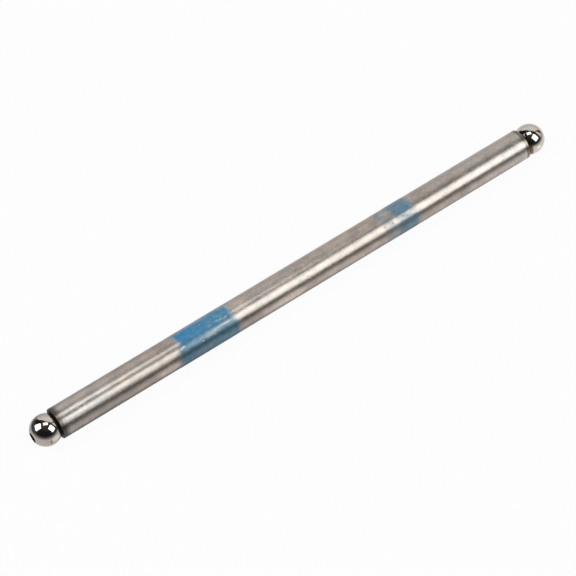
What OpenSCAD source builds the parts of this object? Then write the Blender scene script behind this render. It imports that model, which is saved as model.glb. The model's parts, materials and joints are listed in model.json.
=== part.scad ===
// Engine pushrod: a steel tube with a polished ball tip in each end.
// The collar of each tip seats on the end of the tube, and its shank is pressed into the bore.
// The rod lies along X with its middle at the origin and its lifter end towards -X.

/* [Rod] */
// Length over both tips, between the flat lands around their oil holes
overall_l = 152.4; // [110:0.1:260]

/* [Tube] */
// Outside diameter of the tube
tube_d = 7.94; // [7:0.01:9.6]
// Wall thickness of the tube
tube_wall = 1.25; // [0.9:0.05:1.7]

/* [Ball tips] */
// Diameter of each ball
ball_d = 7.92; // [6.4:0.01:9.6]
// Diameter of the oil hole drilled through each tip
oil_hole_d = 2.7; // [1:0.1:3.4]
// Width of the flat land around the oil hole
hole_land = 0.15; // [0.05:0.05:0.6]
// Distance from the centre of the ball to the face of the collar
collar_stand_off = 2.7; // [2.4:0.05:3.2]
// Thickness of the collar
collar_t = 0.85; // [0.5:0.05:3]
// Chamfer on the outer edge of the collar
collar_edge = 0.12; // [0.05:0.01:0.4]
// Width of the groove between the ball and the collar
groove_w = 0.5; // [0.2:0.05:1]
// Diameter of the neck at the bottom of the groove
neck_d = 5; // [4:0.1:5.6]
// Length of the shank pressed into the tube
shank_l = 12; // [6:0.5:20]
// Lead-in chamfer at the inner end of the shank
shank_lead = 0.4; // [0.1:0.1:0.6]
// Gap on diameter between the shank and the bore of the tube, nil for a press fit
press_gap = 0; // [0:0.01:0.05]

/* [Paint marks] */
// Thickness of the paint film on the tube
paint_film = 0.05; // [0.02:0.01:0.2]
// Length of the wide paint band
wide_band_l = 16; // [5:0.1:25]
// Distance from the middle of the rod to the middle of the wide band, towards the lifter end
wide_band_x = 27.7; // [13:0.1:40]
// Length of the narrow paint band
narrow_band_l = 10.2; // [3:0.1:15]
// Distance from the middle of the rod to the middle of the narrow band, towards the rocker end
narrow_band_x = 29.7; // [8:0.1:44]

/* [Hidden] */

tube_r = tube_d / 2;
bore_r = tube_r - tube_wall;
ball_r = ball_d / 2;
oil_hole_r = oil_hole_d / 2;
land_r = oil_hole_r + hole_land;
neck_r = neck_d / 2;
shank_r = bore_r - press_gap / 2;

// Distances along the axis of a tip, from the centre of its ball
ball_reach = sqrt(ball_r * ball_r - land_r * land_r);
ball_back = collar_stand_off - groove_w;
collar_back = collar_stand_off + collar_t;
shank_end = collar_back + shank_l;

ball_x = overall_l / 2 - ball_reach;
tube_l = 2 * (ball_x - collar_back);

// Extra length of a cutting shape past the surface that it cuts
cut_over = 1;

$fn = 96;

steel_color = [0.64, 0.61, 0.58];
polish_color = [0.86, 0.85, 0.83];
paint_color = [0.22, 0.46, 0.65];

// Lays a shape built along Z onto the X axis, with its top towards +X
module along_x() {
    rotate([0, 90, 0])
        children();
}

// Cylinder on Z from one height down to a lower one
module drum(r, top, bottom) {
    translate([0, 0, bottom])
        cylinder(r = r, h = top - bottom);
}

// Ball with a flat land at its pole and a flat back at the groove, centred at the origin
module ball() {
    intersection() {
        sphere(r = ball_r);
        drum(ball_r + cut_over, ball_reach, -ball_back);
    }
}

// Turned stem below the ball: the neck from the ball's centre, a chamfered collar flush with the
// tube, and a shank with a lead-in chamfer at its inner end
module stem() {
    rotate_extrude()
        polygon([
            [0, 0],
            [neck_r, 0],
            [neck_r, -collar_stand_off],
            [tube_r - collar_edge, -collar_stand_off],
            [tube_r, -collar_stand_off - collar_edge],
            [tube_r, -collar_back],
            [shank_r, -collar_back],
            [shank_r, -shank_end + shank_lead],
            [shank_r - shank_lead, -shank_end],
            [0, -shank_end]
        ]);
}

// Ball and stem in one piece, drilled through for oil
module ball_tip() {
    difference() {
        union() {
            ball();
            stem();
        }
        drum(oil_hole_r, ball_r + cut_over, -shank_end - cut_over);
    }
}

// Ball tip seated in the end of the tube at +X
module seated_tip() {
    translate([ball_x, 0, 0])
        along_x()
            ball_tip();
}

// Straight round sleeve along X, centred at x
module sleeve(x, length, outer_r, inner_r) {
    translate([x, 0, 0])
        along_x()
            difference() {
                cylinder(r = outer_r, h = length, center = true);
                cylinder(r = inner_r, h = length + 2 * cut_over, center = true);
            }
}

module tube() {
    color(steel_color)
        sleeve(0, tube_l, tube_r, bore_r);
}

module lifter_ball_tip() {
    color(polish_color)
        mirror([1, 0, 0])
            seated_tip();
}

module rocker_ball_tip() {
    color(polish_color)
        seated_tip();
}

module wide_paint_band() {
    color(paint_color)
        sleeve(-wide_band_x, wide_band_l, tube_r + paint_film, tube_r);
}

module narrow_paint_band() {
    color(paint_color)
        sleeve(narrow_band_x, narrow_band_l, tube_r + paint_film, tube_r);
}

tube();
lifter_ball_tip();
rocker_ball_tip();
wide_paint_band();
narrow_paint_band();
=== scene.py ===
"""Looks of an engine pushrod: a satin steel tube, two polished ball tips and two worn paint bands.

Every piece is a surface of revolution about the rod's axis, X, worked out with numpy in metres.
"""

import json
import math

import bpy
import numpy as np
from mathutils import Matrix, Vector


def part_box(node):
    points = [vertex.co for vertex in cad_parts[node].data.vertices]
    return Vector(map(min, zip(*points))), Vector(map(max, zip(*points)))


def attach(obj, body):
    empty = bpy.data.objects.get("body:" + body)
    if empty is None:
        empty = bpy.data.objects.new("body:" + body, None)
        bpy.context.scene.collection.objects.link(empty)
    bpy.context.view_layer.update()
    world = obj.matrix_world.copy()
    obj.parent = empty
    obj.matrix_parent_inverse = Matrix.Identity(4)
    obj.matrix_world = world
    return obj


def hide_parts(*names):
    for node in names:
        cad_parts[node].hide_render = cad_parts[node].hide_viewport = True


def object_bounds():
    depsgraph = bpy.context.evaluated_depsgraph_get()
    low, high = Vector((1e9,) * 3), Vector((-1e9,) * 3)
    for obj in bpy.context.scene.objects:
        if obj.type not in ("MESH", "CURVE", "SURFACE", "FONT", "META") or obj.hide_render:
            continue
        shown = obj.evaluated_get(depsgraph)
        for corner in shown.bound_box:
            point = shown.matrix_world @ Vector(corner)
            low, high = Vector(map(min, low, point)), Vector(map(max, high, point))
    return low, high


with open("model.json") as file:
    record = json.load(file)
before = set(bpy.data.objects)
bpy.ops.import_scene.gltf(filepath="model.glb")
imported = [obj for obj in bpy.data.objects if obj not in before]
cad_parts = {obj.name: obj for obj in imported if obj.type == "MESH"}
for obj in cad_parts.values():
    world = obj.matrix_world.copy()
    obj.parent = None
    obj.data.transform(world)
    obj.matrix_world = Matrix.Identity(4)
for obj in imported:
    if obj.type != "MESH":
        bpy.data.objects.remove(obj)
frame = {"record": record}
cad_box = [list(corner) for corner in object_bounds()]

MM = 0.001

# Sizes that the frame gives
TUBE_HALF_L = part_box("tube")[1].x
TUBE_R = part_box("tube")[1].z
ROD_HALF_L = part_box("rocker_ball_tip")[1].x
SHANK_END_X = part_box("rocker_ball_tip")[0].x
FILM_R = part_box("wide_paint_band")[1].z
FLOOR_Z = cad_box[0][2]
MOUNTS = {mount["name"]: mount for mount in frame["record"]["mounts"]}
BALL_X = MOUNTS["rocker_ball"]["pos_m"][0]
BALL_R = MOUNTS["rocker_ball"]["dims"]["r_mm"] * MM
OIL_HOLE_R = MOUNTS["rocker_oil_hole"]["dims"]["r_mm"] * MM

# Sizes that the frame leaves inside the solids
BORE_R = 2.72 * MM
SHANK_LEAD = 0.4 * MM
COLLAR_EDGE = 0.12 * MM
COLLAR_STAND_OFF = 2.7 * MM
COLLAR_X = BALL_X - COLLAR_STAND_OFF
GROOVE_W = 0.5 * MM
NECK_R = 2.5 * MM

# Fineness of the turned surfaces
TURN_STEPS = 256
FACE_STEPS = 4
BALL_STEPS = 96
TUBE_STEPS = 72
FILM_STEP = 0.08 * MM
FILM_TURN_STEPS = 312
SHARP_ANGLE = math.radians(30)

# Flat map of a wall, with U along the rod and V round it, and the heights of its strips
FLAT_MAP = "OFBake"
TUBE_STRIPS = (0.47, 0.47, 0.06)
FILM_STRIPS = (0.97, 0.03)

# Ends of the paint, as corners (turn, x): degrees about the axis from +Y towards +Z, and millimetres
WIDE_LEFT_END = [
    (52, -35.9), (73, -35.6), (92, -35.4), (101, -35.5), (113, -35.7), (121, -36.1),
    (127, -36.4), (150, -36.6), (180, -36.7), (270, -35.9),
]
WIDE_RIGHT_END = [
    (50, -20.4), (62, -20.35), (75, -20.1), (92, -20.4), (100, -20.4), (108, -20.65), (121, -20.2),
    (130, -19.85), (144, -19.55), (159, -19.65), (181, -19.75), (270, -19.9),
]
NARROW_LEFT_END = [(65, 24.2), (124, 24.6), (146, 25.4), (167, 24.4), (270, 25)]
NARROW_DENSE_START = [
    (55, 28.3), (80, 28.6), (108, 28.5), (130, 29), (150, 28.8), (167, 28.6), (270, 28.6),
]
NARROW_RIGHT_END = [
    (52, 33.7), (70, 34.15), (81, 34.2), (100, 33.9), (116, 34.2), (124, 34.5),
    (135, 34.6), (159, 34.5), (173, 34.35), (270, 34),
]

# Bare spots and smears of the paint: x in millimetres, turn in degrees, half length along the rod,
# half width round it, lean in degrees, and depth
WIDE_BARE_SPOTS = [
    (-26.0, 87, 0.5, 0.2, 25, 0.29),
    (-24.2, 78, 0.5, 0.2, 15, 0.28),
    (-25.4, 84, 0.4, 0.2, 0, 0.25),
    (-23.7, 85, 0.4, 0.24, 0, 0.26),
    (-22.9, 93, 0.5, 0.2, -30, 0.3),
    (-24.3, 99, 0.7, 0.3, 0, 0.32),
    (-22.1, 103, 0.8, 0.3, -20, 0.34),
    (-23.2, 101, 0.5, 0.26, 0, 0.3),
    (-26.6, 102, 0.6, 0.26, 0, 0.28),
    (-30.8, 88, 0.2, 0.16, 0, 0.22),
    (-30.4, 82, 0.2, 0.16, 0, 0.22),
    (-28.3, 75, 0.16, 0.4, 0, 0.22),
    (-29.5, 134, 0.3, 0.2, 0, 0.85),
    (-26.1, 136, 0.3, 0.2, 0, 0.85),
    (-34.7, 118, 0.35, 0.25, 0, 0.9),
    (-35.3, 121, 0.3, 0.25, 0, 0.8),
    (-34.3, 119, 0.3, 0.2, 0, 0.7),
    (-23.1, 121, 2.8, 0.18, 0, 0.7),
    (-27.0, 127, 2.1, 0.55, 0, 0.3),
]
NARROW_BARE_SPOTS = [
    (27.2, 82, 1.3, 0.5, 45, 0.95),
    (26.8, 101, 1.0, 0.5, 0, 0.7),
    (26.1, 126, 0.5, 0.3, 0, 0.9),
    (28.0, 126, 0.5, 0.3, 0, 0.9),
    (33.6, 126, 0.5, 0.25, 0, 0.8),
    (32.0, 118, 0.8, 0.2, 0, 0.7),
]
NARROW_SMEARS = [
    (25.1, 62, 0.8, 1.1, 20, 0.3),
    (25.4, 82, 0.7, 0.9, 20, 0.14),
    (26.2, 111, 1.5, 0.6, 0, 0.22),
    (26.3, 122, 1.7, 0.5, 0, 0.07),
    (25.0, 122, 0.4, 0.35, 0, 0.3),
    (27.3, 125, 0.25, 0.16, 0, 0.7),
    (30.6, 121, 0.35, 0.2, 20, 0.4),
    (31.5, 126, 0.3, 0.2, -20, 0.35),
    (31.2, 98, 2.4, 0.9, 0, 0.12),
]

# Share of the wall that the paint covers; the narrow band's wash covers more than the rest of it
WIDE_COVER = 0.95
NARROW_FAINT_COVER = 0.16
NARROW_FAINT_WASH = 0.42
NARROW_DENSE_COVER = 0.64
NARROW_DENSE_WASH = 0.74
COVER_UNEVEN = 0.05
COVER_WAVES = 24
COVER_WAVE_L = 1.6 * MM

# Lengths over which the coats thin out, and the ripple of their ends
WIDE_FADES = (2.0 * MM, 1.8 * MM)
NARROW_FADES = (1.15 * MM, 2.0 * MM)
DENSE_FADE = 1.15 * MM
END_RIPPLE = 0.12 * MM
END_WAVES = np.arange(5, 48)
THINNEST_FILM = 0.12

# Sides of the coats, as (start, end, fade) in degrees, and the share of the coat lost on worn ones
WIDE_THIN_SIDE = (122, 195, 14)
WIDE_THIN_LOSS = 0.06
WIDE_RUBBED_SIDE = (116, 126, 8)
WIDE_RUBBED_LOSS = 0.14
WIDE_BACK_SIDE = (0, 48, 18)
WIDE_BACK_LOSS = 0.3
NARROW_FAINT_SIDE = (130, 200, 10)
NARROW_DENSE_SIDE = (136, 200, 10)
NARROW_RUBBED_SIDE = (116, 132, 8)
NARROW_RUBBED_LOSS = 0.5

# The rub on the wide band grows along the rod from a least share to the whole
WIDE_RUB_START = -30 * MM
WIDE_RUB_RISE = 6 * MM
WIDE_RUB_LEAST = 0.4

# Seeds of the random draws
WIDE_ENDS_SEED = 1
NARROW_ENDS_SEED = 3
WIDE_COAT_SEED = 11
NARROW_COAT_SEED = 21
DENSE_START_SEED = 23

# Colours
WHITE = (1, 1, 1, 1)
CARD_WHITE = (0.9, 0.9, 0.9, 1)
STEEL_PALE = (0.44, 0.4, 0.36, 1)
STEEL_TAN = (0.42, 0.355, 0.31, 1)
POLISHED = (0.56, 0.5, 0.45, 1)
# Paler polish, painted as a brighter reflection on the balls
BALL_PAINTED_REFLECTION = (0.84, 0.74, 0.645, 1)
# Heat tints of the collars, each with a paler copy for the side where the stripe falls: a painted highlight
LIFTER_TINT = (0.13, 0.105, 0.09, 1)
LIFTER_TINT_HIGHLIT = (0.195, 0.16, 0.138, 1)
ROCKER_TINT = (0.212, 0.168, 0.14, 1)
ROCKER_TINT_HIGHLIT = (0.3, 0.252, 0.217, 1)
# Dark brown, painted as shade on the rocker ball next to its collar
BALL_PAINTED_SHADE = (0.125, 0.097, 0.082, 1)
STAIN = (0.28, 0.22, 0.17, 1)
# Near black, painted as the shade at the bottom of the groove
GROOVE_PAINTED_SHADE = (0.02, 0.015, 0.012, 1)
PAINT_BLUE = (0.036, 0.252, 0.49, 1)
PAINT_TEAL = (0.062, 0.272, 0.44, 1)
PAINT_WASH = (0.07, 0.175, 0.25, 1)
PAINT_WORN = (0.05, 0.235, 0.37, 1)
PAINT_CHALK = (0.19, 0.39, 0.58, 1)

# Patches of paler and darker steel: centre and half sizes in millimetres, and tone
STEEL_PATCHES = [
    ((-5.0, -3.87, 0.89), (6.0, 2.2, 2.2), 1.34),
    ((-16.2, -3.87, 0.89), (4.8, 2.2, 2.4), 0.74),
    ((-40.3, -3.87, 0.89), (3.4, 2.2, 2.2), 1.22),
    ((3.2, -3.87, 0.89), (3.6, 2.2, 2.2), 0.86),
    ((36.8, -3.87, 0.89), (3.4, 2.2, 2.2), 0.85),
    ((48.7, -3.87, 0.89), (3.2, 2.2, 2.2), 0.86),
    ((-57.5, -3.87, 0.89), (8.5, 2.2, 2.2), 0.88),
    ((-18.3, 0.82, 3.88), (3.6, 2.6, 1.6), 1.2),
]

# Marks on the balls: stains, a painted pale reflection on each ball's front and painted dark shade next to
# the rocker collar; centre and half sizes in millimetres, and colour
BALL_STAINS_AND_PAINTED_LIGHT = [
    ((-71.95, -3.8, 0.95), (1.3, 1.5, 0.95), BALL_PAINTED_REFLECTION),
    ((72.6, -3.88, 0.8), (0.75, 1.5, 0.5), BALL_PAINTED_REFLECTION),
    ((-73.32, -3.85, 0.45), (0.28, 0.55, 0.95), STAIN),
    ((-73.2, 2.73, 2.79), (0.4, 0.45, 0.45), STAIN),
    ((70.35, -3.2, 0.5), (0.98, 1.3, 2.6), BALL_PAINTED_SHADE),
    ((70.9, -3.4, -1.1), (0.5, 1.2, 0.9), BALL_PAINTED_SHADE),
    ((70.3, -0.4, 3.2), (0.78, 1.1, 0.9), BALL_PAINTED_SHADE),
]

# Reach of a spot's edge and of its whole middle, in shares of its half sizes
SPOT_FADE = (1.0, 0.5)

# Sides of the steel, as (turn, full, edge) in degrees: whole up to full from the turn, gone at edge. They
# are the sides where the stripes of light fall, and painted highlights go on them: paler heat tint at the
# ends, and paler steel near the lifter end.
LIFTER_HIGHLIGHT_SIDE = (115.5, 17, 27)
ROCKER_HIGHLIGHT_SIDE = (126, 6, 13)
STRIPE_HIGHLIGHT_SIDE = (127, 6, 13)

# Noise of the finishes, in grains per metre, and its stretch by axis
STEEL_GRAIN = 2200
STEEL_BLOTCH = 330
STEEL_CLOUD = 70
POLISH_CLOUD = 700
PAINT_STREAK = 1500
NOISE_DETAIL = 3.0
NOISE_ROUGHNESS = 0.55
GRAIN_STRETCH = (0.7, 1, 1)
STREAK_STRETCH = (0.15, 1, 1)
GRAIN_BUMP = (0.1, 0.02 * MM)

# All ramps are (low, high, level at low, level at high), from 0 to 1 where no levels are given

# Ramps of the steel, by noise or along the rod; heat fades at the lifter end, and is sharp at the rocker end
TAN_BY_NOISE = (0.75, 1.25)
TAN_BY_PLACE = (35 * MM, 68 * MM, 0.12, -0.12)
TONE_BY_GRAIN = (0.25, 0.75, 0.36, 0.64)
TONE_BY_BLOTCH = (0.25, 0.75, 0.33, 0.67)
# The next two ramps are painted highlights: the steel is paler at the lifter end, and paler still there on
# the side where the stripe falls
LIFTER_END_HIGHLIGHT = (-60 * MM, -46 * MM, 1.06, 0.97)
STRIPE_HIGHLIGHT_BY_PLACE = (-56 * MM, -64 * MM, 0.0, 0.24)
STEEL_ROUGH = (0.3, 0.7, 0.305, 0.34)
LIFTER_HEAT = (1.3 * MM - TUBE_HALF_L, -TUBE_HALF_L, 0.0, 0.75)
ROCKER_HEAT = (TUBE_HALF_L - 0.27 * MM, TUBE_HALF_L - 0.12 * MM)

# Shares of the heat tint that are left on the sides where the stripes fall, which makes a painted highlight
LIFTER_HEAT_IN_HIGHLIGHT = 0.5
ROCKER_HEAT_IN_HIGHLIGHT = 0.3

# Ramps of the tips: polish by noise, tint and the painted shade on the collar's rim along the rod, painted
# shade of the groove from the axis
POLISH_TONE = (0.3, 0.7, 0.94, 1.04)
POLISH_ROUGH = (0.3, 0.7, 0.08, 0.13)
COLLAR_TINT_EDGE = (COLLAR_X + 0.03 * MM, COLLAR_X + 0.01 * MM)
RIM_PAINTED_SHADE = (COLLAR_X - 0.16 * MM, COLLAR_X - 0.048 * MM, 0.0, 0.6)
GROOVE_SHADE_TOP = (3.4 * MM, 3.2 * MM)
GROOVE_PLAY = 0.01 * MM
COLLAR_ROUGH = 0.34
PAINTED_SHADE_ROUGH = 0.7
PAINTED_SHADE_METAL = 0.3

# Ramps of the paint: by noise, along the rod, across it and by cover
STREAK_TONE = (0.3, 0.7, 0.85, 1.12)
THICK_ROUGH = (0.3, 0.7, 0.4, 0.5)
TEAL_BY_PLACE = (-32 * MM, -23 * MM)
WORN_BY_PLACE = (-5 * MM, 5 * MM)
WASH_ROUGH = (-5 * MM, 5 * MM, 0.37, 0.47)
WASH_ACROSS = (-0.7 * MM, -1.9 * MM)
CHALK_BY_COVER = (0.85, 0.62)
WASH_METAL = 0.62


# Turned pieces


def line(start, end, steps=FACE_STEPS):
    """Evenly spaced (x, radius) points from start up to, and without, end."""
    share = np.arange(steps)[:, None] / steps
    return np.array(start) * (1 - share) + np.array(end) * share


def outline(corners):
    """Straight lines from each corner to the next, up to, and without, the last."""
    return np.concatenate([line(start, end) for start, end in zip(corners, corners[1:])])


def arc(centre_x, radius, start, end, steps):
    """Points on a circle centred on the axis, from one angle up to, and without, the other."""
    angle = start + (end - start) * np.arange(steps) / steps
    return np.stack([centre_x + radius * np.cos(angle), radius * np.sin(angle)], 1)


def tube_profile():
    """Closed section of the tube wall: along the outside, down an end face, back in the bore and up."""
    bore = outline([
        (TUBE_HALF_L, TUBE_R), (TUBE_HALF_L, BORE_R), (-TUBE_HALF_L, BORE_R), (-TUBE_HALF_L, TUBE_R),
    ])
    return np.concatenate([line((-TUBE_HALF_L, TUBE_R), (TUBE_HALF_L, TUBE_R), TUBE_STEPS), bore])


def tip_profile():
    """Closed section of the rocker tip.

    It goes along the shank, over the collar, down into the groove, round the ball as an arc about the
    ball's centre, down the land at the pole and back in the oil hole.
    """
    back_x = COLLAR_X + GROOVE_W
    back = math.acos((back_x - BALL_X) / BALL_R)
    land = math.acos((ROD_HALF_L - BALL_X) / BALL_R)
    body = outline([
        (SHANK_END_X, OIL_HOLE_R),
        (SHANK_END_X, BORE_R - SHANK_LEAD),
        (SHANK_END_X + SHANK_LEAD, BORE_R),
        (TUBE_HALF_L, BORE_R),
        (TUBE_HALF_L, TUBE_R),
        (COLLAR_X - COLLAR_EDGE, TUBE_R),
        (COLLAR_X, TUBE_R - COLLAR_EDGE),
        (COLLAR_X, NECK_R),
        (back_x, NECK_R),
        (back_x, BALL_R * math.sin(back)),
    ])
    hole = outline([
        (ROD_HALF_L, BALL_R * math.sin(land)), (ROD_HALF_L, OIL_HOLE_R), (SHANK_END_X, OIL_HOLE_R),
    ])
    return np.concatenate([body, arc(BALL_X, BALL_R, back, land, BALL_STEPS), hole])


def turned_points(profile):
    """Carries an (x, radius) profile round the X axis: point (i, j) is profile point i at turn j."""
    turn = 2 * np.pi * np.arange(TURN_STEPS) / TURN_STEPS
    x, radius = profile[:, :1], profile[:, 1:]
    return np.stack(np.broadcast_arrays(x, radius * np.cos(turn), radius * np.sin(turn)), 2)


def ring_mesh(name, points, strips=()):
    """Closed mesh of a grid of points that wraps both ways, with its faces turned outwards.

    The sum of the corners' triple products gives the enclosed volume, whose sign tells which way the
    faces look. Strips are (first row, height) pairs: each stretch of rows is a strip of the flat map,
    one above the other, with U along the rod and V round it.
    """
    rows, turns, _ = points.shape
    row, turn = np.meshgrid(np.arange(rows), np.arange(turns), indexing="ij")
    corner_row = np.stack([row, row, row + 1, row + 1], 2).reshape(-1, 4)
    corner_turn = np.stack([turn, turn + 1, turn + 1, turn], 2).reshape(-1, 4)
    flat = points.reshape(-1, 3)
    a, b, c, d = (flat[corner_row[:, k] % rows * turns + corner_turn[:, k] % turns] for k in range(4))
    if np.einsum("ij,ij->", a, np.cross(b, c)) + np.einsum("ij,ij->", a, np.cross(c, d)) < 0:
        corner_row, corner_turn = corner_row[:, ::-1], corner_turn[:, ::-1]
    mesh = bpy.data.meshes.new(name)
    mesh.from_pydata(flat.tolist(), [], (corner_row % rows * turns + corner_turn % turns).tolist())
    if strips:
        first = np.array([start for start, height in strips])
        height = np.array([height for start, height in strips])
        strip = np.searchsorted(first, corner_row.min(1), side="right")[:, None] - 1
        last = np.append(first[1:], rows)
        u = (corner_row - first[strip]) / (last - first)[strip]
        v = (np.cumsum(height) - height)[strip] + corner_turn / turns * height[strip]
        mesh.uv_layers.new(name=FLAT_MAP).uv.foreach_set("vector", np.stack([u, v], 2).ravel())
    mesh.shade_smooth()
    mesh.set_sharp_from_angle(angle=SHARP_ANGLE)
    return mesh


# Paint films


def smooth_step(value):
    """Rises from 0 to 1 as the value does, level at both ends."""
    value = np.clip(value, 0, 1)
    return value * value * (3 - 2 * value)


def wall_line(corners, turn):
    """Place along the rod of a line round the tube through the given corners, in metres."""
    degrees, x = np.array(corners, float).T
    return np.interp(np.degrees(turn), degrees, x * MM, period=360)


def ragged(turn, seed):
    """Ripple of an edge round the tube: whole cosine waves of seeded phase, weaker as they shorten."""
    phase = np.random.default_rng(seed).uniform(0, 2 * np.pi, END_WAVES.size)
    waves = np.cos(np.multiply.outer(turn, END_WAVES) + phase) / np.sqrt(END_WAVES)
    return END_RIPPLE * waves.sum(-1) / np.sqrt((0.5 / END_WAVES).sum())


def film_grid(left_end, right_end, fades, seed):
    """Places (x, turn) of a film's points: lines along the rod, divided evenly between ragged ends."""
    turn = 2 * np.pi * np.arange(FILM_TURN_STEPS) / FILM_TURN_STEPS
    left = wall_line(left_end, turn) + ragged(turn, seed) - fades[0] / 2
    right = wall_line(right_end, turn) + ragged(turn, seed + 1) + fades[1] / 2
    share = np.linspace(0, 1, math.ceil(np.ptp([left, right]) / FILM_STEP))[:, None]
    x = left + (right - left) * share
    return x, np.broadcast_to(turn, x.shape)


def spots(x, turn, marks):
    """Depth of each mark at each point: a flat-topped bell over a leaning oval on the unrolled wall."""
    at_x, at_turn, length, width, lean, depth = np.array(marks, float).T[:, :, None, None]
    along = x - at_x * MM
    around = TUBE_R * ((turn - np.radians(at_turn) + np.pi) % (2 * np.pi) - np.pi)
    lean = np.radians(lean)
    lengthwise = (along * np.cos(lean) + around * np.sin(lean)) / (length * MM)
    crosswise = (around * np.cos(lean) - along * np.sin(lean)) / (width * MM)
    return depth * np.exp(-(lengthwise ** 2 + crosswise ** 2) ** 2)


def uneven(x, turn, seed):
    """Uneven coat: seeded plane waves over the unrolled wall, whole round the tube, of unit spread."""
    draw = np.random.default_rng(seed)
    most_turns = int(2 * np.pi * TUBE_R / COVER_WAVE_L)
    round_waves = draw.integers(-most_turns, most_turns + 1, COVER_WAVES)
    along_waves = draw.uniform(0, 2 * np.pi / COVER_WAVE_L, COVER_WAVES)
    phase = draw.uniform(0, 2 * np.pi, COVER_WAVES)
    waves = np.cos(np.multiply.outer(x, along_waves) + np.multiply.outer(turn, round_waves) + phase)
    return waves.sum(-1) / math.sqrt(COVER_WAVES / 2)


def end_fade(x, fades):
    """Share of the coat near the two ends of a film, where it thins out."""
    return smooth_step((x - x[:1]) / fades[0]) * smooth_step((x[-1:] - x) / fades[1])


def between(turn, start, end, fade):
    """1 between two turns in degrees, falling to 0 over the fade outside them."""
    degrees = np.degrees(turn)
    return smooth_step((degrees - start) / fade + 1) * smooth_step((end - degrees) / fade + 1)


def wide_cover(x, turn):
    """Share of the wall that the wide band covers: a nearly whole coat, thin on some sides, with spots."""
    rise = smooth_step((x - WIDE_RUB_START) / WIDE_RUB_RISE)
    rub_and_highlight = between(turn, *WIDE_RUBBED_SIDE) * (WIDE_RUB_LEAST + (1 - WIDE_RUB_LEAST) * rise)
    thin = WIDE_THIN_LOSS * between(turn, *WIDE_THIN_SIDE)
    back = WIDE_BACK_LOSS * between(turn, *WIDE_BACK_SIDE)
    coat = (WIDE_COVER + COVER_UNEVEN * uneven(x, turn, WIDE_COAT_SEED)) * end_fade(x, WIDE_FADES)
    coat = coat * (1 - thin - WIDE_RUBBED_LOSS * rub_and_highlight - back)
    return np.clip(coat * (1 - spots(x, turn, WIDE_BARE_SPOTS)).prod(0), 0, 1)


def narrow_cover(x, turn):
    """Share of the wall that the narrow band covers: a faint trace that turns dense, spotted and smeared."""
    dense_start = wall_line(NARROW_DENSE_START, turn) + ragged(turn, DENSE_START_SEED)
    dense = smooth_step((x - dense_start) / DENSE_FADE + 0.5)
    faint_wash = (NARROW_FAINT_WASH - NARROW_FAINT_COVER) * between(turn, *NARROW_FAINT_SIDE)
    dense_wash = (NARROW_DENSE_WASH - NARROW_DENSE_COVER) * between(turn, *NARROW_DENSE_SIDE)
    faint = NARROW_FAINT_COVER + faint_wash
    full = NARROW_DENSE_COVER + dense_wash
    coat = faint + (full - faint) * dense
    coat = (coat + COVER_UNEVEN * uneven(x, turn, NARROW_COAT_SEED)) * end_fade(x, NARROW_FADES)
    coat = coat * (1 - NARROW_RUBBED_LOSS * between(turn, *NARROW_RUBBED_SIDE))
    bare = (1 - spots(x, turn, NARROW_BARE_SPOTS)).prod(0)
    return np.clip(coat * bare + spots(x, turn, NARROW_SMEARS).sum(0), 0, 1)


def film_points(x, turn, cover):
    """Sleeve of paint: its outside stands off more where it covers more, and its inside is on the tube."""
    outside = TUBE_R + (FILM_R - TUBE_R) * (THINNEST_FILM + (1 - THINNEST_FILM) * cover)
    radius = np.concatenate([outside, np.full_like(outside[:2], TUBE_R)])
    turn = np.concatenate([turn, turn[:2]])
    x = np.concatenate([x, x[-1:], x[:1]])
    return np.stack([x, radius * np.cos(turn), radius * np.sin(turn)], 2)


# Finishes


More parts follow.
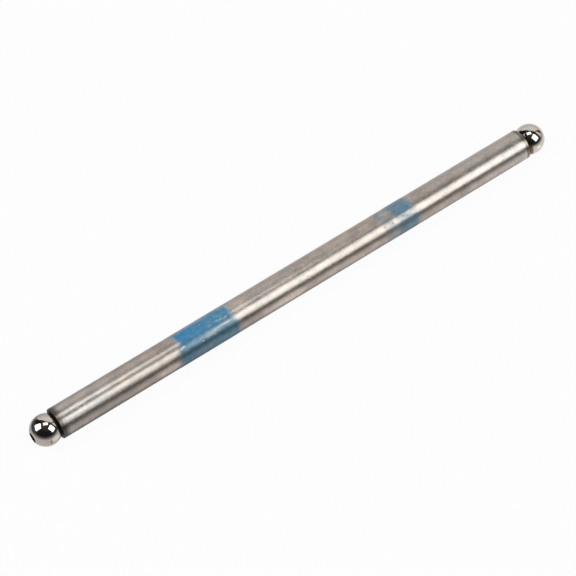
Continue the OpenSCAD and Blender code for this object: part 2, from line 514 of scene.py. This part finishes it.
class Finish:
    """A material under construction: short calls that add nodes and link them."""

    def __init__(self, name):
        self.material = bpy.data.materials.new(name)
        self.material.use_nodes = True
        self.tree = self.material.node_tree
        self.tree.nodes.clear()
        self.output = self.tree.nodes.new("ShaderNodeOutputMaterial")
        self.place = self.tree.nodes.new("ShaderNodeTexCoord").outputs["Object"]

    def node(self, kind, inputs=(), **settings):
        """Adds a node; an input is linked where it is given as a socket and set where it is a value."""
        made = self.tree.nodes.new(kind)
        for key, value in settings.items():
            setattr(made, key, value)
        for key, value in dict(inputs).items():
            if isinstance(value, bpy.types.NodeSocket):
                self.tree.links.new(value, made.inputs[key])
            else:
                made.inputs[key].default_value = value
        return made

    def stretched(self, scale):
        """Object coordinates scaled by axis."""
        return self.node("ShaderNodeMapping", {"Vector": self.place, "Scale": scale}).outputs[0]

    def noise(self, where, scale):
        """Fractal noise, with scale in grains per metre."""
        inputs = {"Vector": where, "Scale": scale, "Detail": NOISE_DETAIL, "Roughness": NOISE_ROUGHNESS}
        return self.node("ShaderNodeTexNoise", inputs).outputs["Fac"]

    def math(self, operation, *values):
        """One step of arithmetic."""
        return self.node("ShaderNodeMath", dict(enumerate(values)), operation=operation).outputs[0]

    def vector_math(self, operation, *values):
        """The outputs of one step of arithmetic on vectors."""
        return self.node("ShaderNodeVectorMath", dict(enumerate(values)), operation=operation).outputs

    def span(self, value, low, high, to_low=0.0, to_high=1.0):
        """Smooth rise from to_low to to_high while the value goes from low to high."""
        levels = {"From Min": low, "From Max": high, "To Min": to_low, "To Max": to_high}
        ramp = self.node("ShaderNodeMapRange", {"Value": value, **levels}, interpolation_type="SMOOTHSTEP")
        return ramp.outputs[0]

    def blend(self, share, first, second):
        """Mix of two colours."""
        inputs = {"Factor": share, "A": first, "B": second}
        return self.node("ShaderNodeMix", inputs, data_type="RGBA").outputs["Result"]

    def shaded(self, colour, tone):
        """A colour made paler or darker by a tone, with 1 for no change."""
        inputs = {"Factor": 1.0, "A": colour, "B": tone}
        made = self.node("ShaderNodeMix", inputs, data_type="RGBA", blend_type="MULTIPLY")
        return made.outputs["Result"]

    def mix(self, share, first, second):
        """Mix of two numbers."""
        return self.node("ShaderNodeMix", {"Factor": share, "A": first, "B": second}).outputs["Result"]

    def axes(self):
        """Object coordinates one by one; X is the distance along the rod from its middle."""
        return self.node("ShaderNodeSeparateXYZ", {"Vector": self.place}).outputs

    def facing(self):
        """1 where a ray grazes the surface, falling to 0 where it meets it squarely."""
        return self.node("ShaderNodeLayerWeight", {"Blend": 0.5}).outputs["Facing"]

    def from_axis(self):
        """Distance from the rod's axis."""
        across = self.vector_math("MULTIPLY", self.place, (0, 1, 1))[0]
        return self.vector_math("LENGTH", across)["Value"]

    def on_side(self, turn, full, edge):
        """1 on the wall within some degrees of a turn about the rod, falling to 0 further round."""
        turn, full, edge = np.radians([turn, full, edge]).tolist()
        side = (0, math.cos(turn), math.sin(turn))
        reach = self.vector_math("DOT_PRODUCT", self.place, side)["Value"]
        return self.span(reach, TUBE_R * math.cos(edge), TUBE_R * math.cos(full))

    def spot(self, centre, half):
        """1 inside an oval, given by its centre and half sizes in millimetres, fading to 0 at its edge."""
        off = self.vector_math("SUBTRACT", self.place, Vector(centre) * MM)[0]
        share = self.vector_math("DIVIDE", off, Vector(half) * MM)[0]
        return self.span(self.vector_math("LENGTH", share)["Value"], *SPOT_FADE)

    def bump(self, height, strength, distance):
        """Normal roughened by a height."""
        inputs = {"Height": height, "Strength": strength, "Distance": distance}
        return self.node("ShaderNodeBump", inputs).outputs[0]

    def surface(self, shader):
        """Ends the material in a shader."""
        self.tree.links.new(shader.outputs[0], self.output.inputs["Surface"])
        return self.material

    def principled(self, **inputs):
        """Ends the material in one Principled shader; input names have _ for their spaces."""
        named = {key.replace("_", " "): value for key, value in inputs.items()}
        return self.surface(self.node("ShaderNodeBsdfPrincipled", named))


def satin_steel(finish):
    """Colour, roughness and grain of drawn steel: tan blotches, neutral at the ends, finely mottled, with
    painted highlights where the stripes of light fall.
    """
    grain = finish.noise(finish.stretched(GRAIN_STRETCH), STEEL_GRAIN)
    blotch = finish.noise(finish.place, STEEL_BLOTCH)
    cloud = finish.noise(finish.place, STEEL_CLOUD)
    along = finish.axes()["X"]
    middle = finish.span(finish.math("ABSOLUTE", along), *TAN_BY_PLACE)
    tan = finish.span(finish.math("ADD", finish.math("ADD", cloud, middle), blotch), *TAN_BY_NOISE)
    tone = finish.math("ADD", finish.span(grain, *TONE_BY_GRAIN), finish.span(blotch, *TONE_BY_BLOTCH))
    # Painted highlight: paler steel at the lifter end, and on the side of the stripe there
    tone = finish.math("MULTIPLY", tone, finish.span(along, *LIFTER_END_HIGHLIGHT))
    rub_and_highlight = finish.span(along, *STRIPE_HIGHLIGHT_BY_PLACE)
    rub_and_highlight = finish.math("MULTIPLY", finish.on_side(*STRIPE_HIGHLIGHT_SIDE), rub_and_highlight)
    tone = finish.math("MULTIPLY", tone, finish.math("ADD", rub_and_highlight, 1.0))
    for centre, half, level in STEEL_PATCHES:
        tone = finish.math("MULTIPLY", tone, finish.mix(finish.spot(centre, half), 1.0, level))
    steel = finish.shaded(finish.blend(tan, STEEL_PALE, STEEL_TAN), tone)
    # Less heat tint on the side where the stripe falls: a painted highlight
    lifter_heat_by_highlight = finish.mix(finish.on_side(*LIFTER_HIGHLIGHT_SIDE), 1.0, LIFTER_HEAT_IN_HIGHLIGHT)
    lifter_heat_and_highlight = finish.math("MULTIPLY", finish.span(along, *LIFTER_HEAT), lifter_heat_by_highlight)
    rocker_heat_by_highlight = finish.mix(finish.on_side(*ROCKER_HIGHLIGHT_SIDE), 1.0, ROCKER_HEAT_IN_HIGHLIGHT)
    rocker_heat_and_highlight = finish.math("MULTIPLY", finish.span(along, *ROCKER_HEAT), rocker_heat_by_highlight)
    steel = finish.blend(lifter_heat_and_highlight, steel, LIFTER_TINT)
    return finish.blend(rocker_heat_and_highlight, steel, ROCKER_TINT), finish.span(grain, *STEEL_ROUGH), grain


def tube_finish():
    """Satin drawn steel."""
    finish = Finish("satin drawn steel")
    colour, rough, grain = satin_steel(finish)
    return finish.principled(
        Base_Color=colour,
        Metallic=1.0,
        Roughness=rough,
        Normal=finish.bump(grain, *GRAIN_BUMP),
    )


def tip_finish():
    """Mirror polish on the ball with stains and painted reflection and shade, heat tint on the collar with a
    paler painted highlight on one side, and painted shade at the bottom of the groove and on the collar's
    rim.
    """
    finish = Finish("polished steel")
    from_middle = finish.axes()["X"]
    along = finish.math("ABSOLUTE", from_middle)
    # The collar tints are paler on the side where the stripe falls: a painted highlight
    lifter_tint_and_highlight = finish.blend(finish.on_side(*LIFTER_HIGHLIGHT_SIDE), LIFTER_TINT, LIFTER_TINT_HIGHLIT)
    rocker_tint_and_highlight = finish.blend(finish.on_side(*ROCKER_HIGHLIGHT_SIDE), ROCKER_TINT, ROCKER_TINT_HIGHLIT)
    tint = finish.blend(finish.math("GREATER_THAN", from_middle, 0.0), lifter_tint_and_highlight, rocker_tint_and_highlight)
    collar = finish.span(along, *COLLAR_TINT_EDGE)
    before_ball = finish.math("LESS_THAN", along, COLLAR_X + GROOVE_W + GROOVE_PLAY)
    past_collar = finish.math("GREATER_THAN", along, COLLAR_X - GROOVE_PLAY)
    deep = finish.span(finish.from_axis(), *GROOVE_SHADE_TOP)
    in_groove = finish.math("MULTIPLY", finish.math("MULTIPLY", before_ball, past_collar), deep)
    on_rim = finish.math("MULTIPLY", collar, finish.span(along, *RIM_PAINTED_SHADE))
    # Painted shade in the groove and on the collar's rim next to it
    painted_shade = finish.math("MAXIMUM", in_groove, on_rim)
    cloud = finish.noise(finish.place, POLISH_CLOUD)
    polished = finish.shaded(POLISHED, finish.span(cloud, *POLISH_TONE))
    # Stains, and painted reflection and shade on the balls
    for centre, half, mark in BALL_STAINS_AND_PAINTED_LIGHT:
        polished = finish.blend(finish.spot(centre, half), polished, mark)
    rough = finish.mix(collar, finish.span(cloud, *POLISH_ROUGH), COLLAR_ROUGH)
    return finish.principled(
        Base_Color=finish.blend(painted_shade, finish.blend(collar, polished, tint), GROOVE_PAINTED_SHADE),
        Metallic=finish.mix(painted_shade, 1.0, PAINTED_SHADE_METAL),
        Roughness=finish.mix(painted_shade, rough, PAINTED_SHADE_ROUGH),
    )


def paint_finish():
    """Thin blue paint over the satin steel, which shows where the film's cover is worn."""
    finish = Finish("worn blue paint")
    steel, steel_rough, grain = satin_steel(finish)
    cover = finish.node("ShaderNodeAttribute", attribute_name="cover").outputs["Fac"]
    streak = finish.noise(finish.stretched(STREAK_STRETCH), PAINT_STREAK)
    tone = finish.span(streak, *STREAK_TONE)
    axes = finish.axes()
    wash = finish.span(axes["Y"], *WASH_ACROSS)
    on_wide_band = finish.math("LESS_THAN", axes["X"], 0.0)
    chalky = finish.math("MULTIPLY", finish.span(cover, *CHALK_BY_COVER), on_wide_band)
    hue = finish.blend(finish.span(axes["X"], *TEAL_BY_PLACE), PAINT_BLUE, PAINT_TEAL)
    hue = finish.blend(finish.span(axes["X"], *WORN_BY_PLACE), hue, PAINT_WORN)
    hue = finish.blend(chalky, hue, PAINT_CHALK)
    hue = finish.blend(wash, hue, PAINT_WASH)
    thick_rough = finish.span(streak, *THICK_ROUGH)
    paint_rough = finish.mix(wash, thick_rough, finish.span(axes["X"], *WASH_ROUGH))
    return finish.principled(
        Base_Color=finish.blend(cover, steel, finish.shaded(hue, tone)),
        Metallic=finish.mix(cover, 1.0, finish.mix(wash, 0.0, WASH_METAL)),
        Roughness=finish.mix(cover, steel_rough, paint_rough),
        Normal=finish.bump(grain, *GRAIN_BUMP),
    )


# Pieces of the rod


def add_piece(mesh, material, node):
    """Puts a mesh into the scene as a piece that stands for a node of the frame."""
    piece = bpy.data.objects.new(mesh.name, mesh)
    bpy.context.scene.collection.objects.link(piece)
    mesh.materials.append(material)
    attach(piece, "root")
    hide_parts(node)


def add_tube():
    """The tube, with its outside in two strips of the flat map and its end faces and bore in a third."""
    first_rows = (0, TUBE_STEPS // 2, TUBE_STEPS)
    strips = list(zip(first_rows, TUBE_STRIPS))
    mesh = ring_mesh("steel_tube", turned_points(tube_profile()), strips)
    add_piece(mesh, tube_finish(), "tube")


def add_tips():
    """The two ball tips, alike and facing apart."""
    points = turned_points(tip_profile())
    polish = tip_finish()
    add_piece(ring_mesh("rocker_ball", points), polish, "rocker_ball_tip")
    mirrored = points * (-1, 1, 1)
    add_piece(ring_mesh("lifter_ball", mirrored), polish, "lifter_ball_tip")


def add_film(name, ends, cover_of, seed, paint, node):
    """A paint film between its ends, with its cover kept on the points for the finish."""
    x, turn = film_grid(*ends, seed)
    cover = cover_of(x, turn)
    strips = list(zip((0, len(x) - 1), FILM_STRIPS))
    mesh = ring_mesh(name, film_points(x, turn, cover), strips)
    on_points = np.concatenate([cover, cover[-1:], cover[:1]])
    mesh.attributes.new("cover", "FLOAT", "POINT").data.foreach_set("value", on_points.ravel())
    add_piece(mesh, paint, node)


def add_films():
    """The two bands of paint, of one finish."""
    paint = paint_finish()
    wide_ends = (WIDE_LEFT_END, WIDE_RIGHT_END, WIDE_FADES)
    add_film("wide_paint_film", wide_ends, wide_cover, WIDE_ENDS_SEED, paint, "wide_paint_band")
    narrow_ends = (NARROW_LEFT_END, NARROW_RIGHT_END, NARROW_FADES)
    add_film("narrow_paint_film", narrow_ends, narrow_cover, NARROW_ENDS_SEED, paint, "narrow_paint_band")


# Studio


def facing_at(slope):
    """Facing of a flat card in a ray that meets it at a slope, in degrees from its plane."""
    return 1 - math.sin(math.radians(slope))


VIEW_BEARING = math.radians(35.647)
VIEW_ELEVATION = math.radians(57.126)
VIEW_DISTANCE = 550.35 * MM
VIEW_LENS = 140.97
AIM_RIGHT = -2.328 * MM
AIM_UP = -2.339 * MM

# Soft lights: name, place across, ahead and up from the rod, width and height, in metres
SOFTBOXES = [
    ("left_softbox", (-0.539, -0.058, 0.413), 0.41, 0.49),
    ("right_softbox", (0.53, -0.195, 0.545), 0.46, 0.6),
    ("top_softbox", (-0.035, 0.14, 0.84), 0.44, 0.25),
]
BOX_RADIANCE = 3.5
BOX_COLOUR = (0.955, 1.01, 1.035)

# Cards: half the side of the floor, and the others' outlines as (across, up) and (ahead, up), in metres
FLOOR_HALF = 4.0
BACKDROP_AHEAD = 1.2
BACKDROP_OUTLINE = [(-1.08, FLOOR_Z), (1.16, FLOOR_Z), (1.4, 1.4), (1.65, 2.1), (0, 2.15), (-1.08, 0.85)]
SIDE_CARD_ACROSS = 2.0
SIDE_CARD_OUTLINE = [(0.3, FLOOR_Z), (1.0, FLOOR_Z), (1.15, 0.85), (1.45, 1.73), (0.93, 2.2), (0.5, 1.0)]
SEEN_WHITE = 0.95

# Ramps of the cards in metal: by the facing of the ray, along the rod and across it
CARD_BY_FACING = (1.0, facing_at(25))
CARD_BY_HEIGHT = (0.0, 0.6, 0.7, 1.0)
FRONT_BY_FACING = (1.0, facing_at(22), 0.36, 1.08)
FRONT_ALONG = (-75 * MM, -5 * MM, 0.68, 1.0)
BACK_ALONG = (-75 * MM, 20 * MM, 0.56, 0.88)
BEHIND_ACROSS = (2 * MM, 12 * MM)
BEHIND_ALONG = (-82 * MM, -64 * MM)
BESIDE_ROD = (TUBE_HALF_L + 2 * MM, TUBE_HALF_L - 2 * MM)
UNDER_ROD = (facing_at(50), 0.0, 1.0, 0.2)
PAST_LIFTER = (-70 * MM, -80 * MM)
DIM_ACROSS = (6 * MM, 26 * MM, 1.0, 0.22)

# Brightness of the dark studio in metal, by the height of the ray
STUDIO_GLOW = [(0.0, 0.13), (0.26, 0.016), (0.64, 0.016), (1.0, 0.05)]

right = Vector((math.cos(VIEW_BEARING), -math.sin(VIEW_BEARING), 0))
forward = Vector((math.sin(VIEW_BEARING), math.cos(VIEW_BEARING), 0))
upward = Vector((0, 0, 1))


def studio_place(across, ahead, height):
    """A place in the studio, by the camera's right and forward and up from the rod."""
    return right * across + forward * ahead + upward * height


def add_camera():
    """Camera that looks down on the rod from its lifter end."""
    camera = bpy.data.objects.new("camera", bpy.data.cameras.new("camera"))
    bpy.context.scene.collection.objects.link(camera)
    back = upward * math.sin(VIEW_ELEVATION) - forward * math.cos(VIEW_ELEVATION)
    aim = right * AIM_RIGHT + back.cross(right) * AIM_UP
    camera.location = aim + back * VIEW_DISTANCE
    camera.rotation_euler = back.to_track_quat("Z", "Y").to_euler()
    camera.data.lens = VIEW_LENS
    bpy.context.scene.camera = camera


def softbox(name, place, width, height):
    """Rectangular soft light that faces the rod."""
    lamp = bpy.data.lights.new(name, "AREA")
    lamp.shape = "RECTANGLE"
    lamp.size = width
    lamp.size_y = height
    lamp.energy = BOX_RADIANCE * math.pi * width * height
    lamp.color = BOX_COLOUR
    box = bpy.data.objects.new(name, lamp)
    bpy.context.scene.collection.objects.link(box)
    box.location = place
    box.rotation_euler = place.to_track_quat("Z", "Y").to_euler()
    box.visible_camera = False


def floor_in_mirror(finish):
    """Brightness of the floor in metal, by the slope of the ray that meets it and by its place.

    In front of the rod it fades towards the horizon and is dimmer round the lifter end, and under the
    rod it is in shade. Behind the rod it is even, as it goes on into the backdrop. Past the lifter end
    it gets darker towards the far side.
    """
    axes = finish.axes()
    facing = finish.facing()
    front = finish.span(facing, *FRONT_BY_FACING)
    front = finish.math("MULTIPLY", front, finish.span(axes["X"], *FRONT_ALONG))
    back = finish.span(axes["X"], *BACK_ALONG)
    behind = finish.span(axes["Y"], *BEHIND_ACROSS)
    behind = finish.math("MULTIPLY", behind, finish.span(axes["X"], *BEHIND_ALONG))
    beside = finish.span(finish.math("ABSOLUTE", axes["X"]), *BESIDE_ROD)
    shade = finish.mix(beside, 1.0, finish.span(facing, *UNDER_ROD))
    past_lifter = finish.span(axes["X"], *PAST_LIFTER)
    dim = finish.mix(past_lifter, 1.0, finish.span(axes["Y"], *DIM_ACROSS))
    shade = finish.math("MULTIPLY", shade, dim)
    return finish.math("MULTIPLY", finish.mix(behind, front, back), shade)


def card_in_mirror(finish):
    """Brightness of an upright card in metal, dimmer at its foot and in rays that graze it."""
    foot = finish.span(finish.axes()["Z"], *CARD_BY_HEIGHT)
    return finish.math("MULTIPLY", foot, finish.span(finish.facing(), *CARD_BY_FACING))


def white_card(name, corners, in_mirror):
    """Flat white card: nearly even where it is seen, lit where it lights others, set apart for mirrors."""
    mesh = bpy.data.meshes.new(name)
    mesh.from_pydata(corners, [], [list(range(len(corners)))])
    card = bpy.data.objects.new(name, mesh)
    bpy.context.scene.collection.objects.link(card)
    finish = Finish(name)
    path = finish.node("ShaderNodeLightPath").outputs
    seen = finish.math("MULTIPLY", path["Is Camera Ray"], SEEN_WHITE)
    mirrored = path["Is Glossy Ray"]
    strength = finish.mix(mirrored, 1.0, in_mirror(finish))
    matt = finish.node("ShaderNodeBsdfDiffuse", {"Color": CARD_WHITE})
    even = finish.node("ShaderNodeEmission", {"Color": WHITE, "Strength": strength})
    inputs = {0: finish.math("MAXIMUM", seen, mirrored), 1: matt.outputs[0], 2: even.outputs[0]}
    mesh.materials.append(finish.surface(finish.node("ShaderNodeMixShader", inputs)))


def add_cards():
    """The floor under the rod, a card ahead that slopes down to the left, and a narrow one to the right."""
    half = FLOOR_HALF
    square = [(-half, -half), (half, -half), (half, half), (-half, half)]
    floor = [studio_place(across, ahead, FLOOR_Z) for across, ahead in square]
    white_card("floor", floor, floor_in_mirror)
    backdrop = [studio_place(across, BACKDROP_AHEAD, height) for across, height in BACKDROP_OUTLINE]
    white_card("backdrop", backdrop, card_in_mirror)
    side_card = [studio_place(SIDE_CARD_ACROSS, ahead, height) for ahead, height in SIDE_CARD_OUTLINE]
    white_card("side_card", side_card, card_in_mirror)


def add_world():
    """White where the camera looks past the cards, and otherwise nearly dark, with a dim glow."""
    world = bpy.data.worlds.new("studio")
    bpy.context.scene.world = world
    world.use_nodes = True
    tree = world.node_tree
    height = tree.nodes.new("ShaderNodeSeparateXYZ")
    tree.links.new(tree.nodes.new("ShaderNodeTexCoord").outputs["Generated"], height.inputs[0])
    glow = tree.nodes.new("ShaderNodeValToRGB")
    tree.links.new(height.outputs["Z"], glow.inputs[0])
    stops = glow.color_ramp.elements
    glow.color_ramp.interpolation = "EASE"
    for place, _ in STUDIO_GLOW[1:-1]:
        stops.new(place)
    for stop, (_, level) in zip(stops, STUDIO_GLOW):
        stop.color = (level, level, level, 1)
    strength = tree.nodes.new("ShaderNodeMath")
    strength.operation = "MAXIMUM"
    tree.links.new(tree.nodes.new("ShaderNodeLightPath").outputs["Is Camera Ray"], strength.inputs[0])
    tree.links.new(glow.outputs[0], strength.inputs[1])
    background = tree.nodes["Background"]
    background.inputs["Color"].default_value = WHITE
    tree.links.new(strength.outputs[0], background.inputs["Strength"])


add_tube()
add_tips()
add_films()
add_camera()
for box_name, box_place, box_width, box_height in SOFTBOXES:
    softbox(box_name, studio_place(*box_place), box_width, box_height)
add_cards()
add_world()
bpy.context.scene.view_settings.view_transform = "Standard"
